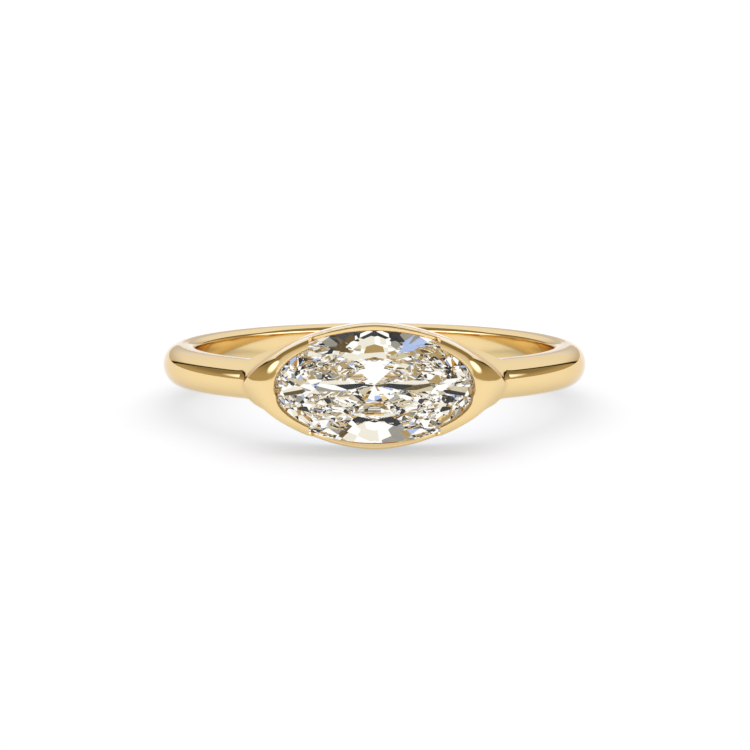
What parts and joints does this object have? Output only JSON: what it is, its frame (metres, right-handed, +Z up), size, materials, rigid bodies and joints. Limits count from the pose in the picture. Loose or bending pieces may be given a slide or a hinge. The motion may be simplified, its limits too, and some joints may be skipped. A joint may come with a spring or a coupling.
{
  "type": "east west ring",
  "caption": "Yellow gold finger ring with an oval brilliant stone set lengthwise across the finger, in a pointed cup with folded ends and thin side rails.",
  "frame": {"origin": "centre of the ring's box, on the surface that the ring lies on", "axes": "+Z up, -Y towards the stone at the front, +X along the length of the stone"},
  "size_m": [0.0204, 0.0217, 0.0061],
  "materials": {
    "gold": "polished 18 carat yellow gold",
    "stone": "faceted and polished colourless diamond"
  },
  "bodies": {
    "root": {"ring_body": "gold", "oval_stone": "stone"}
  },
  "joints": []
}
